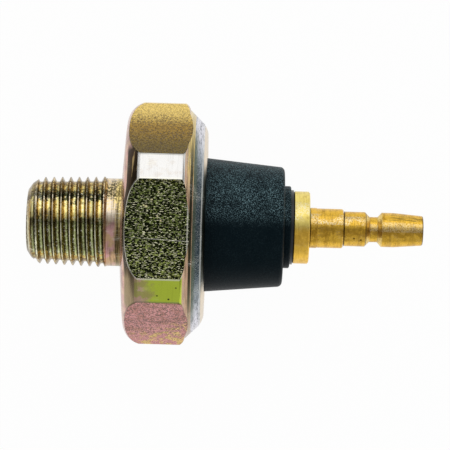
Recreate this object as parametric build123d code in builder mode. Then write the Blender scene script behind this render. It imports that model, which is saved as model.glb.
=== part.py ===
from build123d import *

import os
from math import atan, degrees, pi, radians, tan

os.makedirs("parts", exist_ok=True)

# An oil pressure switch for an engine: a steel body with a male taper thread and a 24 mm
# hexagon, crimped over a moulded cap that carries one brass bullet terminal.
# All sizes are in millimetres. The switch's axis is X: the thread's tip lies at x = 0 and the
# terminal points along +X. Two of the hexagon's flats face straight up and down (+Z and -Z).
# Outlines are drawn as (x, radius) points and turned about the X axis.

# ---- driving dimensions ----

# external taper thread, 28 threads to the inch, taper 1 in 16 on the diameter
threads_per_inch = 28
thread_taper = 1 / 16
thread_length = 8.3
thread_depth = 0.5
flank_angle = 55
root_flat = 0.3
gauge_length = 4.0
gauge_crest_radius = 4.76
groove_lead_in = 0.285
tip_drop = 1.25
lead_length = 0.45
lead_drop = 0.6
lead_end = 1.35
runout_length = 0.3

# plain neck between the thread and the hexagon
neck_length = 1.9
neck_radius = 4.74

# pressure port
port_radius = 2.0
port_chamfer = 0.35
port_depth = 9.4
orifice_radius = 0.75
floor_thickness = 2.2
chamber_depth = 0.6

# hexagon and its turned corners
across_flats = 24.0
corner_radius = 13.05
washer_face_radius = 6.8
dome_rise = 0.33
shoulder_length = 2.1
shoulder_height = 2.15
shoulder_bulge = 0.45

# cavity and crimped lip
cavity_radius = 10.0
drop_in_clearance = 0.1
lip_thickness = 1.32
lip_overlap = 1.4
lip_edge_chamfer = 0.2
lip_face_width = 0.5
lip_round_length = 0.5
lip_round_bulge = 0.2
crimp_slope = 44
crimp_height = 2.1
land_round_length = 0.5
land_round_bulge = 0.1

# seal ring and diaphragm
seal_land = 0.95
groove_width = 1.5
groove_depth = 0.8
seal_gap = 0.02
seat_land = 0.95
film_thickness = 0.125

# pressure plate, push pin and their travel
stroke = 0.40
stop_gap = 0.05
plate_thickness = 0.55
plate_margin = 0.7
plate_edge_round = 0.2
plate_clearance = 0.6
pin_radius = 2.1
pin_clearance = 0.3
socket_depth = 0.2
socket_clearance = 0.03
spigot_radius = 1.2
spigot_clearance = 0.15
spigot_chamfer = 0.2
free_play = 0.05

# clamp ring, fixed contact and moving contact
web_thickness = 0.6
fixed_contact_thickness = 0.3
disc_thickness = 0.5
disc_radius = 5.7
hub_wall = 0.95
hub_height = 0.5
rivet_count = 3
rivet_circle_radius = 4.3
rivet_head_radius = 0.8
rivet_head_height = 0.25
rivet_shank_radius = 0.45
rivet_tail_radius = 0.7
rivet_tail_height = 0.15

# contact spring
spring_wire = 0.6
spring_radius = 3.05
spring_turns = 7
closed_coil_gap = 0.02
end_grind = 0.15

# moulded cap and its gasket
gasket_thickness = 0.6
gasket_width = 1.9
flange_thickness = 2.12
flange_chamfer = 0.65
recess_clearance = 0.4
recess_margin = 1.5
spring_side_clearance = 0.55
cap_base_radius = 7.22
cap_top_radius = 6.44
cap_height = 8.35
cap_edge_round = 0.55
boss_radius = 4.44
boss_height = 0.75
boss_edge_round = 0.2
cap_roof = 3.3

# riveted brass terminal and its washers
shim_thickness = 0.3
inner_washer_thickness = 0.5
inner_washer_clearance = 0.3
upset_radius = 2.3
upset_height = 0.5
upset_flat_radius = 1.5
tail_radius = 1.6
tail_clearance = 0.08
terminal_gasket_thickness = 0.28
terminal_gasket_radius = 4.03
collar_thickness = 1.75
collar_radius = 3.9
collar_chamfer = 0.14
undercut_depth = 0.17
undercut_width = 0.1
bead_height = 0.05
bead_width = 0.75
shank_radius = 2.12
shank_length = 3.58
shank_chamfer = 0.12
step_radius = 1.87
step_length = 2.75
bullet_neck_radius = 1.36
bullet_neck_length = 0.85
bullet_radius = 1.855
bullet_chamfer = 0.45
bullet_land = 1.35
bullet_taper_length = 3.0
bullet_taper_drop = 0.25
bullet_end_chamfer = 0.1

# ---- stations along the axis, from the thread's tip outwards ----

thread_pitch = 25.4 / threads_per_inch
hex_start = thread_length + neck_length
chamber_floor = hex_start + floor_thickness
seat = chamber_floor + chamber_depth
film_top = seat + 2 * film_thickness
plate_top = film_top + plate_thickness
web_underside = plate_top + stroke + stop_gap
clamp_top = web_underside + web_thickness
fixed_contact_top = clamp_top + fixed_contact_thickness
disc_underside = fixed_contact_top + rivet_head_height
disc_top = disc_underside + disc_thickness
hub_top = disc_top + hub_height
rivet_top = disc_top + rivet_tail_height
gasket_top = fixed_contact_top + gasket_thickness
recess_roof = rivet_top + stroke + recess_clearance
flange_top = gasket_top + flange_thickness
lip_end = flange_top + lip_thickness
cap_top = lip_end + cap_height
boss_top = cap_top + boss_height
bore_roof = boss_top - cap_roof
inner_washer_underside = bore_roof - inner_washer_thickness
shim_underside = inner_washer_underside - shim_thickness
terminal_gasket_top = boss_top + terminal_gasket_thickness
collar_top = terminal_gasket_top + collar_thickness
shank_start = collar_top + undercut_width
shank_end = shank_start + shank_length
step_start = shank_end + undercut_width
step_end = step_start + step_length
bullet_start = step_end + bullet_neck_length
land_start = bullet_start + bullet_chamfer
land_end = land_start + bullet_land
taper_end = land_end + bullet_taper_length
terminal_end = taper_end + bullet_end_chamfer

# ---- radii that follow from the driving ones ----

drop_in_radius = cavity_radius - drop_in_clearance
lip_bore_radius = cavity_radius - lip_overlap
groove_outer_radius = cavity_radius - seal_land
groove_inner_radius = groove_outer_radius - groove_width
chamber_radius = groove_inner_radius - seat_land
plate_radius = chamber_radius - plate_margin
pin_hole_radius = pin_radius + pin_clearance
disc_hole_radius = spigot_radius + spigot_clearance
hub_radius = disc_hole_radius + hub_wall
recess_radius = disc_radius + recess_margin
spring_inner_radius = spring_radius - spring_wire / 2
spring_bore_radius = spring_radius + spring_wire / 2 + spring_side_clearance
inner_washer_radius = spring_bore_radius - inner_washer_clearance
tail_hole_radius = tail_radius + tail_clearance
bullet_end_radius = bullet_radius - bullet_taper_drop


def crest_radius(x):
    """The thread's crest radius at a station, which grows with the taper."""
    return gauge_crest_radius + (x - gauge_length) * thread_taper / 2


def turned(*points):
    """A solid of revolution about the switch's axis, from a closed outline of straight lines."""
    with BuildSketch(Plane.XZ) as outline:
        with BuildLine():
            Polyline(*points, close=True)
        make_face()
    revolve(outline.sketch, axis=Axis.X)


def ring(start, end, outer, inner):
    """A plain washer between two stations."""
    turned((start, inner), (end, inner), (end, outer), (start, outer))


# ---- body: thread, neck, hexagon, cavity and crimped lip in one piece of steel ----

dome_edge = (hex_start + dome_rise, corner_radius - shoulder_height)
shoulder_end = (hex_start + shoulder_length, corner_radius)
lip_face_edge = (lip_end, lip_bore_radius + lip_face_width)
crimp_end = (lip_end - lip_round_length, corner_radius - crimp_height)
crimp_start_x = flange_top - flange_chamfer
crimp_start = (
    crimp_start_x,
    crimp_end[1] + (crimp_end[0] - crimp_start_x) * tan(radians(crimp_slope)),
)
land_end_point = (crimp_start_x - land_round_length, corner_radius)

# the thread's groove is cut a turn at a time, each turn's cutter starting where the last ended;
# the last turn climbs out of the metal, which is the thread's washout
flank_spread = tan(radians(flank_angle / 2))
cutter_margin = (thread_pitch - root_flat) / (4 * flank_spread) - thread_depth / 2
cutter_height = thread_depth + cutter_margin
half_root = root_flat / 2
half_mouth = half_root + cutter_height * flank_spread
full_turns = int((thread_length + groove_lead_in) / thread_pitch)

groove_turns = []
for turn in range(full_turns + 1):
    turn_start = turn * thread_pitch - groove_lead_in
    start_radius = crest_radius(turn_start) - thread_depth
    end_radius = crest_radius(turn_start + thread_pitch) - thread_depth
    if turn == full_turns:
        end_radius += cutter_height
    with BuildPart() as groove_turn:
        with BuildLine():
            path = Helix(
                pitch=thread_pitch,
                height=thread_pitch,
                radius=start_radius,
                center=(turn_start, 0, 0),
                direction=(1, 0, 0),
                cone_angle=degrees(atan((end_radius - start_radius) / thread_pitch)),
            )
        lead_direction = (thread_pitch, -2 * pi * start_radius, 0)
        with BuildSketch(Plane(origin=path @ 0, x_dir=(0, 0, 1), z_dir=lead_direction)):
            with BuildLine():
                Polyline(
                    (0, -half_root),
                    (cutter_height, -half_mouth),
                    (cutter_height, half_mouth),
                    (0, half_root),
                    close=True,
                )
            make_face()
        sweep(path=path, is_frenet=True)
    groove_turns.append(groove_turn.part)

with BuildPart() as threaded_body:
    with BuildSketch(Plane.XZ):
        with BuildLine():
            Polyline(
                (0, port_radius + port_chamfer),
                (0, crest_radius(0) - tip_drop),
                (lead_length, crest_radius(0) - lead_drop),
                (lead_end, crest_radius(lead_end)),
                (thread_length, crest_radius(thread_length)),
                (thread_length + runout_length, neck_radius),
                (hex_start, neck_radius),
                (hex_start, washer_face_radius),
                dome_edge,
            )
            SagittaArc(dome_edge, shoulder_end, shoulder_bulge)
            Line(shoulder_end, land_end_point)
            SagittaArc(land_end_point, crimp_start, land_round_bulge)
            Line(crimp_start, crimp_end)
            SagittaArc(crimp_end, lip_face_edge, lip_round_bulge)
            Polyline(
                lip_face_edge,
                (lip_end, lip_bore_radius + lip_edge_chamfer),
                (lip_end - lip_edge_chamfer, lip_bore_radius),
                (flange_top, lip_bore_radius),
                (flange_top, drop_in_radius - flange_chamfer),
                (flange_top - flange_chamfer - drop_in_clearance, cavity_radius),
                (seat, cavity_radius),
                (seat, groove_outer_radius),
                (seat - groove_depth, groove_outer_radius),
                (seat - groove_depth, groove_inner_radius),
                (seat, groove_inner_radius),
                (seat, chamber_radius),
                (chamber_floor, chamber_radius),
                (chamber_floor, orifice_radius),
                (port_depth, orifice_radius),
                (port_depth, port_radius),
                (port_chamfer, port_radius),
                (0, port_radius + port_chamfer),
            )
        make_face()
    revolve(axis=Axis.X)
    with BuildSketch(Plane.YZ):
        RegularPolygon(radius=across_flats / 2, side_count=6, major_radius=False)
    extrude(amount=lip_end, mode=Mode.INTERSECT)
    for groove in groove_turns:
        add(groove, mode=Mode.SUBTRACT)
threaded_body.part.label = "threaded_body"
export_step(threaded_body.part, "parts/threaded_body.step")

# ---- pressure side: seal ring, two diaphragm films, clamp ring, pressure plate, push pin ----

# the rubber ring lies in its groove, pressed to an oval by the diaphragm
with BuildPart() as seal_ring:
    with BuildSketch(Plane.XZ):
        with Locations((seat - groove_depth / 2, groove_outer_radius - groove_width / 2)):
            Ellipse(groove_depth / 2 - seal_gap, groove_width / 2 - drop_in_clearance)
    revolve(axis=Axis.X)
seal_ring.part.label = "seal_ring"
export_step(seal_ring.part, "parts/seal_ring.step")

for ply, name in enumerate(("diaphragm_lower", "diaphragm_upper")):
    film_underside = seat + ply * film_thickness
    with BuildPart() as diaphragm:
        with BuildSketch(Plane.YZ.offset(film_underside)):
            Circle(drop_in_radius)
        extrude(amount=film_thickness)
    diaphragm.part.label = name
    export_step(diaphragm.part, f"parts/{name}.step")

with BuildPart() as clamp_ring:
    turned(
        (film_top, plate_radius + plate_clearance),
        (film_top, drop_in_radius),
        (clamp_top, drop_in_radius),
        (clamp_top, pin_hole_radius),
        (web_underside, pin_hole_radius),
        (web_underside, plate_radius + plate_clearance),
    )
clamp_ring.part.label = "clamp_ring"
export_step(clamp_ring.part, "parts/clamp_ring.step")

with BuildPart() as pressure_plate:
    turned(
        (film_top, 0),
        (film_top, plate_radius - plate_edge_round),
        (film_top + plate_edge_round, plate_radius),
        (plate_top, plate_radius),
        (plate_top, pin_radius + socket_clearance),
        (plate_top - socket_depth, pin_radius + socket_clearance),
        (plate_top - socket_depth, 0),
    )
pressure_plate.part.label = "pressure_plate"
export_step(pressure_plate.part, "parts/pressure_plate.step")

with BuildPart() as push_pin:
    turned(
        (plate_top - socket_depth, 0),
        (plate_top - socket_depth, pin_radius),
        (disc_underside - free_play, pin_radius),
        (disc_underside - free_play, spigot_radius),
        (hub_top - spigot_chamfer, spigot_radius),
        (hub_top, spigot_radius - spigot_chamfer),
        (hub_top, 0),
    )
push_pin.part.label = "push_pin"
export_step(push_pin.part, "parts/push_pin.step")

# ---- electrical side: fixed contact, moving contact, its silver rivets and its spring ----

with BuildPart() as fixed_contact:
    ring(clamp_top, fixed_contact_top, drop_in_radius, pin_hole_radius)
fixed_contact.part.label = "fixed_contact"
export_step(fixed_contact.part, "parts/fixed_contact.step")

with BuildPart() as moving_contact:
    turned(
        (disc_underside, disc_hole_radius),
        (disc_underside, disc_radius),
        (disc_top, disc_radius),
        (disc_top, hub_radius),
        (hub_top, hub_radius),
        (hub_top, disc_hole_radius),
    )
    with BuildSketch(Plane.YZ.offset(disc_underside)):
        with PolarLocations(rivet_circle_radius, rivet_count):
            Circle(rivet_shank_radius)
    extrude(amount=disc_thickness, mode=Mode.SUBTRACT)
moving_contact.part.label = "moving_contact"
export_step(moving_contact.part, "parts/moving_contact.step")

rivet_steps = (
    (fixed_contact_top, rivet_head_height, rivet_head_radius),
    (disc_underside, disc_thickness, rivet_shank_radius),
    (disc_top, rivet_tail_height, rivet_tail_radius),
)
for number in range(rivet_count):
    name = f"contact_rivet_{number + 1}"
    with BuildPart() as contact_rivet:
        for start, height, radius in rivet_steps:
            with BuildSketch(Plane.YZ.offset(start)):
                with PolarLocations(rivet_circle_radius, 1, start_angle=number * 360 / rivet_count):
                    Circle(radius)
            extrude(amount=height)
    contact_rivet.part.label = name
    export_step(contact_rivet.part, f"parts/{name}.step")

# a compression spring with closed, ground ends, from the moving contact to the shim
closed_pitch = spring_wire + closed_coil_gap
first_centre = disc_top + spring_wire / 2 - end_grind
last_centre = shim_underside - spring_wire / 2 + end_grind
active_turns = spring_turns - 2
active_pitch = (last_centre - first_centre - 2 * closed_pitch) / active_turns
coil_runs = (
    (first_centre, closed_pitch, 1),
    (first_centre + closed_pitch, active_pitch, active_turns),
    (last_centre - closed_pitch, closed_pitch, 1),
)
with BuildPart() as contact_spring:
    with BuildLine() as coil:
        for start, pitch, turns in coil_runs:
            Helix(
                pitch=pitch,
                height=pitch * turns,
                radius=spring_radius,
                center=(start, 0, 0),
                direction=(1, 0, 0),
            )
    coil_wire = coil.wires()[0]
    with BuildSketch(Plane(origin=coil_wire @ 0, z_dir=coil_wire % 0)):
        Circle(spring_wire / 2)
    sweep(path=coil_wire, is_frenet=True)
    with BuildSketch(Plane.YZ.offset(disc_top)):
        Circle(spring_radius + spring_wire)
    extrude(amount=shim_underside - disc_top, mode=Mode.INTERSECT)
contact_spring.part.label = "contact_spring"
export_step(contact_spring.part, "parts/contact_spring.step")

# ---- insulating cap, its gasket, and the terminal riveted through it ----

with BuildPart() as cap_gasket:
    ring(fixed_contact_top, gasket_top, drop_in_radius, drop_in_radius - gasket_width)
cap_gasket.part.label = "cap_gasket"
export_step(cap_gasket.part, "parts/cap_gasket.step")

cap_slope = (cap_base_radius - cap_top_radius) / cap_height
cap_foot_radius = cap_base_radius + cap_slope * lip_thickness
cap_side_end = (cap_top - cap_edge_round, cap_top_radius + cap_slope * cap_edge_round)
cap_face_edge = (cap_top, cap_top_radius - cap_edge_round)

with BuildPart() as cap:
    with BuildSketch(Plane.XZ):
        with BuildLine():
            Polyline(
                (gasket_top, recess_radius),
                (gasket_top, drop_in_radius),
                (flange_top - flange_chamfer, drop_in_radius),
                (flange_top, drop_in_radius - flange_chamfer),
                (flange_top, cap_foot_radius),
                cap_side_end,
            )
            RadiusArc(cap_side_end, cap_face_edge, cap_edge_round)
            Polyline(
                cap_face_edge,
                (cap_top, boss_radius),
                (boss_top - boss_edge_round, boss_radius),
            )
            RadiusArc(
                (boss_top - boss_edge_round, boss_radius),
                (boss_top, boss_radius - boss_edge_round),
                boss_edge_round,
            )
            Polyline(
                (boss_top, boss_radius - boss_edge_round),
                (boss_top, tail_hole_radius),
                (bore_roof, tail_hole_radius),
                (bore_roof, spring_bore_radius),
                (recess_roof, spring_bore_radius),
                (recess_roof, recess_radius),
                (gasket_top, recess_radius),
            )
        make_face()
    revolve(axis=Axis.X)
cap.part.label = "cap"
export_step(cap.part, "parts/cap.step")

with BuildPart() as adjusting_shim:
    ring(
        shim_underside,
        inner_washer_underside,
        inner_washer_radius,
        spring_inner_radius - drop_in_clearance,
    )
adjusting_shim.part.label = "adjusting_shim"
export_step(adjusting_shim.part, "parts/adjusting_shim.step")

with BuildPart() as inner_washer:
    ring(inner_washer_underside, bore_roof, inner_washer_radius, tail_hole_radius)
inner_washer.part.label = "inner_washer"
export_step(inner_washer.part, "parts/inner_washer.step")

with BuildPart() as terminal_gasket:
    ring(boss_top, terminal_gasket_top, terminal_gasket_radius, tail_hole_radius)
terminal_gasket.part.label = "terminal_gasket"
export_step(terminal_gasket.part, "parts/terminal_gasket.step")

with BuildPart() as terminal_collar:
    turned(
        (terminal_gasket_top, tail_hole_radius),
        (terminal_gasket_top, collar_radius - collar_chamfer),
        (terminal_gasket_top + collar_chamfer, collar_radius),
        (collar_top - collar_chamfer, collar_radius),
        (collar_top, collar_radius - collar_chamfer),
        (collar_top, tail_hole_radius),
    )
terminal_collar.part.label = "terminal_collar"
export_step(terminal_collar.part, "parts/terminal_collar.step")

# the terminal pin: upset tail, shouldered shank, step and bullet head turned from one rod
bead_radius = shank_radius + bead_height
with BuildPart() as terminal_pin:
    turned(
        (inner_washer_underside - upset_height, 0),
        (inner_washer_underside - upset_height, upset_flat_radius),
        (inner_washer_underside - upset_height / 2, upset_radius),
        (inner_washer_underside, upset_radius),
        (inner_washer_underside, tail_radius),
        (collar_top, tail_radius),
        (collar_top, shank_radius - undercut_depth),
        (shank_start, shank_radius - undercut_depth),
        (shank_start, bead_radius - bead_height),
        (shank_start + bead_height, bead_radius),
        (shank_start + bead_width - bead_height, bead_radius),
        (shank_start + bead_width, shank_radius),
        (shank_end - shank_chamfer, shank_radius),
        (shank_end, shank_radius - shank_chamfer),
        (shank_end, step_radius - undercut_depth),
        (step_start, step_radius - undercut_depth),
        (step_start, step_radius),
        (step_end - (step_radius - bullet_neck_radius), step_radius),
        (step_end, bullet_neck_radius),
        (bullet_start, bullet_neck_radius),
        (land_start, bullet_radius),
        (land_end, bullet_radius),
        (taper_end, bullet_end_radius),
        (terminal_end, bullet_end_radius - bullet_end_chamfer),
        (terminal_end, 0),
    )
terminal_pin.part.label = "terminal_pin"
export_step(terminal_pin.part, "parts/terminal_pin.step")
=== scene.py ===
"""Finishes, stage and lighting for a single-terminal oil pressure switch.

The switch's axis is X, with the thread at the low end and the terminal at the high end. The
hexagon's front flat faces +Z, where the camera is, and above and below mean towards +Y and -Y.
Lengths inside the materials are in millimetres.
"""

from math import cos, radians, sin

import bpy
from bpy.props import FloatProperty, FloatVectorProperty, PointerProperty
from mathutils import Matrix, Vector


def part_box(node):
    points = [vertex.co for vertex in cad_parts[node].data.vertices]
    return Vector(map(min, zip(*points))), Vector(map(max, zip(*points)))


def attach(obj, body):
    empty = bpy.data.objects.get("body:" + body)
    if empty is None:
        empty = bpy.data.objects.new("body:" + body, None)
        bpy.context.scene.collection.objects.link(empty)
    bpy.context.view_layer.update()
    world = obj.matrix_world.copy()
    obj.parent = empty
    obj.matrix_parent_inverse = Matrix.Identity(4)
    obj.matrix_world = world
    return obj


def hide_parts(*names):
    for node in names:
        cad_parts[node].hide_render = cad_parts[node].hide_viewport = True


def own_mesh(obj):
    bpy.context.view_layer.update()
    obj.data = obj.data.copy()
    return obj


bl_info = {
    "name": "Oil Pressure Switch",
    "version": (1, 0, 0),
    "blender": (4, 5, 0),
    "location": "3D View > Sidebar > Switch",
    "description": "Finishes and lights an oil pressure switch with a crimped steel body",
    "category": "Object",
}

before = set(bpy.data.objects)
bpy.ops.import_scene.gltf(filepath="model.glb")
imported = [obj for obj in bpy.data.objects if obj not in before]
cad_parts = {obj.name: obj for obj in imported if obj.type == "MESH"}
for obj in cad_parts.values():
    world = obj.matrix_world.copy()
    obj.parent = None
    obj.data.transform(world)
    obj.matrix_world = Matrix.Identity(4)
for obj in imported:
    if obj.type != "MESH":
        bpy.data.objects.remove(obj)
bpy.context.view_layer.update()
MM = 0.001
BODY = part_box("threaded_body")
FLAT_RADIUS = BODY[1].z / MM
THREAD_PITCH = 25.4 / 28
# how far a crest is past station 0 at the top, in pitches
CREST_TURN = 0.17

# how the thread's film and its painted light and shade change from one crest (0) through the groove (0.5)
# to the next (1): pale painted highlights on the crests and dark painted shade on the flanks; this lit
# copy, with a gold painted highlight in the groove, goes on the upper side and tips
LIT_THREAD_TONES = (
    (0.0, (1.0, 0.88, 0.66)),
    (0.1, (0.88, 0.7, 0.4)),
    (0.2, (0.4, 0.25, 0.09)),
    (0.3, (0.62, 0.4, 0.11)),
    (0.4, (0.9, 0.64, 0.18)),
    (0.5, (1.0, 0.84, 0.3)),
    (0.6, (1.0, 0.95, 0.46)),
    (0.7, (1.0, 0.88, 0.4)),
    (0.8, (0.22, 0.17, 0.06)),
    (0.9, (0.06, 0.048, 0.018)),
)
# the dimmer copy of these painted highlights and shade, for the rest of the thread
DIM_THREAD_TONES = (
    (0.0, (1.0, 0.97, 0.72)),
    (0.1, (1.0, 0.98, 0.66)),
    (0.2, (0.62, 0.43, 0.16)),
    (0.3, (0.22, 0.15, 0.035)),
    (0.4, (0.06, 0.055, 0.012)),
    (0.5, (0.26, 0.27, 0.1)),
    (0.6, (0.78, 0.86, 0.42)),
    (0.7, (0.36, 0.4, 0.14)),
    (0.8, (0.025, 0.03, 0.007)),
    (0.9, (0.018, 0.02, 0.006)),
)

# small marks on the surface: a point and a size, both in mm
CORNER_PITS = (
    ((14.4, -7.0, 11.01), 0.13),
    ((15.6, -7.35, 10.78), 0.16),
    ((16.35, -6.1, 11.54), 0.12),
)
FLAT_SCUFFS = (
    ((13.05, 2.3, 12.0), 0.2),
    ((12.8, 2.4, 12.0), 0.14),
    ((13.63, 3.03, 12.0), 0.14),
    ((14.31, 3.83, 12.0), 0.13),
    ((14.25, 1.3, 12.0), 0.13),
    ((14.6, 0.85, 12.0), 0.14),
)
TERMINAL_DENTS = (((35.15, -0.95, 1.6), 0.14), ((35.9, -1.1, 1.5), 0.16))

# painted shade in the terminal's corners: a station and a half width, both in mm, and a strength
TERMINAL_CORNER_SHADE = (
    (28.6, 0.05, 0.7),
    (30.4, 0.06, 0.9),
    (34.06, 0.07, 0.8),
    (36.42, 0.05, 0.55),
    (37.7, 0.04, 0.3),
    (42.55, 0.04, 0.8),
)

# fades along the axis: the stations, in mm, where a part's mask is 0 and where it is 1
FIRST_TURN = (1.1, 0.6)
GILT_STARTS = (9.35, 9.75)
HEXAGON_STARTS = (10.15, 10.22)
SHOULDER_ENDS = (12.05, 11.98)
CHAMFER_STARTS = (16.92, 16.97)
LIP_STARTS = (17.84, 17.9)
LIP_FACE_STARTS = (18.84, 18.9)
COLLAR_ENDS = (30.4, 30.3)

# stretches of the axis: the first and last station and the fade outside them, in mm
NECK = (8.55, 10.2, 0.1)
CUT_DEEPER = (8.6, 11.3, 0.3)
# the front flat's edge by the lip, painted as a highlight
EDGE_HIGHLIGHT_BY_LIP = (17.33, 17.42, 0.05)
CRIMP_SEAM = (17.56, 17.76, 0.09)
LIP_RIM = (18.73, 18.8, 0.04)
TERMINAL_BEVELS = ((36.4, 36.85, 0.04), (37.7, 38.15, 0.04))

# tones of the thread
GROOVE_BROWN = (0.14, 0.08, 0.03)
TIP_TAN = (0.5, 0.31, 0.035)
TIP_BROWN = (0.12, 0.07, 0.01)
# pale and gold specks painted as glints on the thread
PALE_GLINT = (1.0, 0.97, 0.8)
GOLD_GLINT = (1.0, 0.74, 0.2)
FIRST_TURN_BROWN = (0.2, 0.14, 0.05)
THREAD_STAIN = (0.1, 0.06, 0.025)

# tones of the neck
NECK_TAN = (0.6, 0.39, 0.22)
NECK_ROSE = (0.64, 0.36, 0.34)
# the neck's painted highlight
NECK_HIGHLIGHT = (0.87, 0.73, 0.56)
NECK_GOLD = (0.9, 0.66, 0.2)
NECK_SHADE = (0.12, 0.1, 0.035)
# the gilt's lower side, darkened as painted shade from the hexagon
GILT_HEXAGON_SHADE = (0.3, 0.24, 0.08)
GILT_ABOVE = (1.0, 0.8, 0.3)
GILT_MOTTLE = (0.2, 0.15, 0.05)
NECK_LINES = (0.1, 0.06, 0.02)

# tones of the hexagon
FLAT_GREEN = (0.44, 0.52, 0.14)
FLAT_RED = (0.52, 0.21, 0.17)
# painted shade on the upper flats
FLAT_SHADE_TAN = (0.42, 0.245, 0.02)
FLAT_SHADE_BROWN = (0.18, 0.12, 0.01)
CORNER_SMUDGE = (0.66, 0.58, 0.5)
CORNER_OLIVE = (0.46, 0.42, 0.14)
CORNER_ROSE = (0.62, 0.4, 0.3)
TURNED_ROSE = (0.68, 0.4, 0.35)
TURNED_TAN = (0.74, 0.5, 0.36)
# partly a stain, partly painted shade on the shoulder
SHOULDER_SHADE = (0.02, 0.015, 0.005)
SHOULDER_LINES = (0.36, 0.26, 0.11)
SHOULDER_TAN = (0.36, 0.28, 0.16)
CHAMFER_TAN = (0.5, 0.36, 0.17)
CHAMFER_GOLD = (0.86, 0.66, 0.24)
CHAMFER_LINES = (0.1, 0.07, 0.03)
# painted shade in the crimp seam
SEAM_SHADE_FRONT = (0.012, 0.014, 0.005)
SEAM_SHADE_SIDES = (0.09, 0.085, 0.045)

# tones of the crimped lip
# the lip's painted light and shade
LIP_LIT_SIDES = (0.86, 0.84, 0.92)
LIP_SHADED_FRONT = (0.008, 0.032, 0.045)
LIP_LINES = (0.03, 0.045, 0.05)
LIP_SPECKS = (0.62, 0.66, 0.68)
LIP_SHADE = (0.1, 0.13, 0.08)
# painted shade across the front and back of the end face
LIP_FACE_SHADE = (0.03, 0.033, 0.015)
LIP_FACE_SIDES = (0.85, 0.72, 0.55)
# painted highlight along the lip's rim
LIP_RIM_HIGHLIGHT = (0.8, 0.79, 0.72)

# tones of pits, wear and dirt, and of painted glints, highlights and shade
SIDE_PITS = (0.055, 0.03, 0.01)
# pale strokes painted as glints on the front flat
GLINT_STROKES = (1.0, 0.98, 0.66)
SCUFFED_GOLD = (1.0, 0.9, 0.5)
# pale zinc for wear and for the painted edge highlight
ZINC_WEAR_AND_HIGHLIGHT = (0.92, 0.9, 0.78)
PIT_DIRT = (0.05, 0.05, 0.02)
# the collar's painted highlight and painted shade
COLLAR_HIGHLIGHT = (1.0, 0.81, 0.22)
COLLAR_SHADED_GOLD = (1.0, 0.63, 0.09)
BEVEL_BRASS = (0.98, 0.72, 0.22)
DRAGGED_DIRT = (0.16, 0.1, 0.03)
# painted shade in the terminal's corners
CORNER_SHADE_BROWN = (0.05, 0.025, 0.005)
# dark spots painted as the shade in the dents
DENT_SHADE = (0.12, 0.06, 0.01)
FIBRE_GREY = (0.03, 0.04, 0.045)


# ---- settings ----


def tint(name, description, default):
    """A colour that the user can change."""
    return FloatVectorProperty(
        name=name, description=description, default=default, size=3, min=0, max=1, subtype="COLOR"
    )


class BodyFinish(bpy.types.PropertyGroup):
    gold: tint("Gold film", "Passivated zinc where its film is thin", (1.0, 0.72, 0.19))
    rose: tint("Rose film", "Passivated zinc where its film is thicker", (0.71, 0.3, 0.285))
    green: tint("Green film", "Passivated zinc where its film is thickest", (0.56, 0.68, 0.07))
    olive: tint("Olive film", "Film dulled by the rough skin under it", (0.29, 0.36, 0.1))
    pale: tint("Pale film", "Nearly clear film on the turned corners", (0.8, 0.79, 0.77))
    burnished: tint("Burnished lip", "Zinc rubbed bare by the crimping tool", (0.46, 0.51, 0.56))
    # this colour also paints the dark band of painted shade across the thread
    grime_and_shade: tint("Grime", "Oil and oxide left in the grooves and pits", (0.009, 0.012, 0.004))
    grain_size: FloatProperty(
        name="Grain size", description="Size of the rolled flats' grain, in mm", default=0.155, min=0.02
    )
    grain_depth: FloatProperty(
        name="Grain depth", description="Depth of that grain, in mm", default=0.1, min=0
    )
    line_pitch: FloatProperty(
        name="Tool mark pitch", description="Spacing of the turned lines, in mm", default=0.14, min=0.02
    )
    line_depth: FloatProperty(
        name="Tool mark depth", description="Depth of the turned lines, in mm", default=0.012, min=0
    )


class CapFinish(bpy.types.PropertyGroup):
    plastic: tint("Plastic", "The moulded cap's colour", (0.0012, 0.006, 0.009))
    # pale specks: partly dust, partly painted sheen
    dust_and_sheen: tint("Dusty plastic", "The cap's colour where fine dust has settled", (0.16, 0.27, 0.3))
    texture_size: FloatProperty(
        name="Texture size", description="Size of the mould's matt texture, in mm", default=0.17, min=0.02
    )
    texture_depth: FloatProperty(
        name="Texture depth", description="Depth of that texture, in mm", default=0.03, min=0
    )
    fibre: tint("Washer", "The terminal washer's colour", (0.004, 0.007, 0.01))


class TerminalFinish(bpy.types.PropertyGroup):
    brass: tint("Brass", "Clean turned brass", (0.9, 0.55, 0.065))
    # also the colour of painted highlights on the shank and bullet
    scuffed_and_lit: tint("Scuffed brass", "Brass rubbed bright by handling", (0.93, 0.86, 0.6))
    tarnish: tint("Tarnish", "Brass where it has darkened", (0.34, 0.17, 0.015))
    line_pitch: FloatProperty(
        name="Tool mark pitch", description="Spacing of the turned lines, in mm", default=0.12, min=0.02
    )
    line_depth: FloatProperty(
        name="Tool mark depth", description="Depth of the turned lines, in mm", default=0.008, min=0
    )


class InnerFinish(bpy.types.PropertyGroup):
    rubber: tint("Rubber", "Seal ring and cap gasket", (0.012, 0.012, 0.012))
    film: tint("Film", "The diaphragm's two plies", (0.55, 0.22, 0.03))
    nylon: tint("Nylon", "The push pin", (0.66, 0.63, 0.54))
    steel: tint("Steel", "Clamp ring, pressure plate and shim", (0.52, 0.52, 0.53))
    strip: tint("Brass strip", "Fixed and moving contacts", (0.74, 0.53, 0.2))
    silver: tint("Silver", "Contact rivets", (0.86, 0.85, 0.82))
    wire: tint("Spring wire", "Contact spring", (0.4, 0.4, 0.42))


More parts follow.
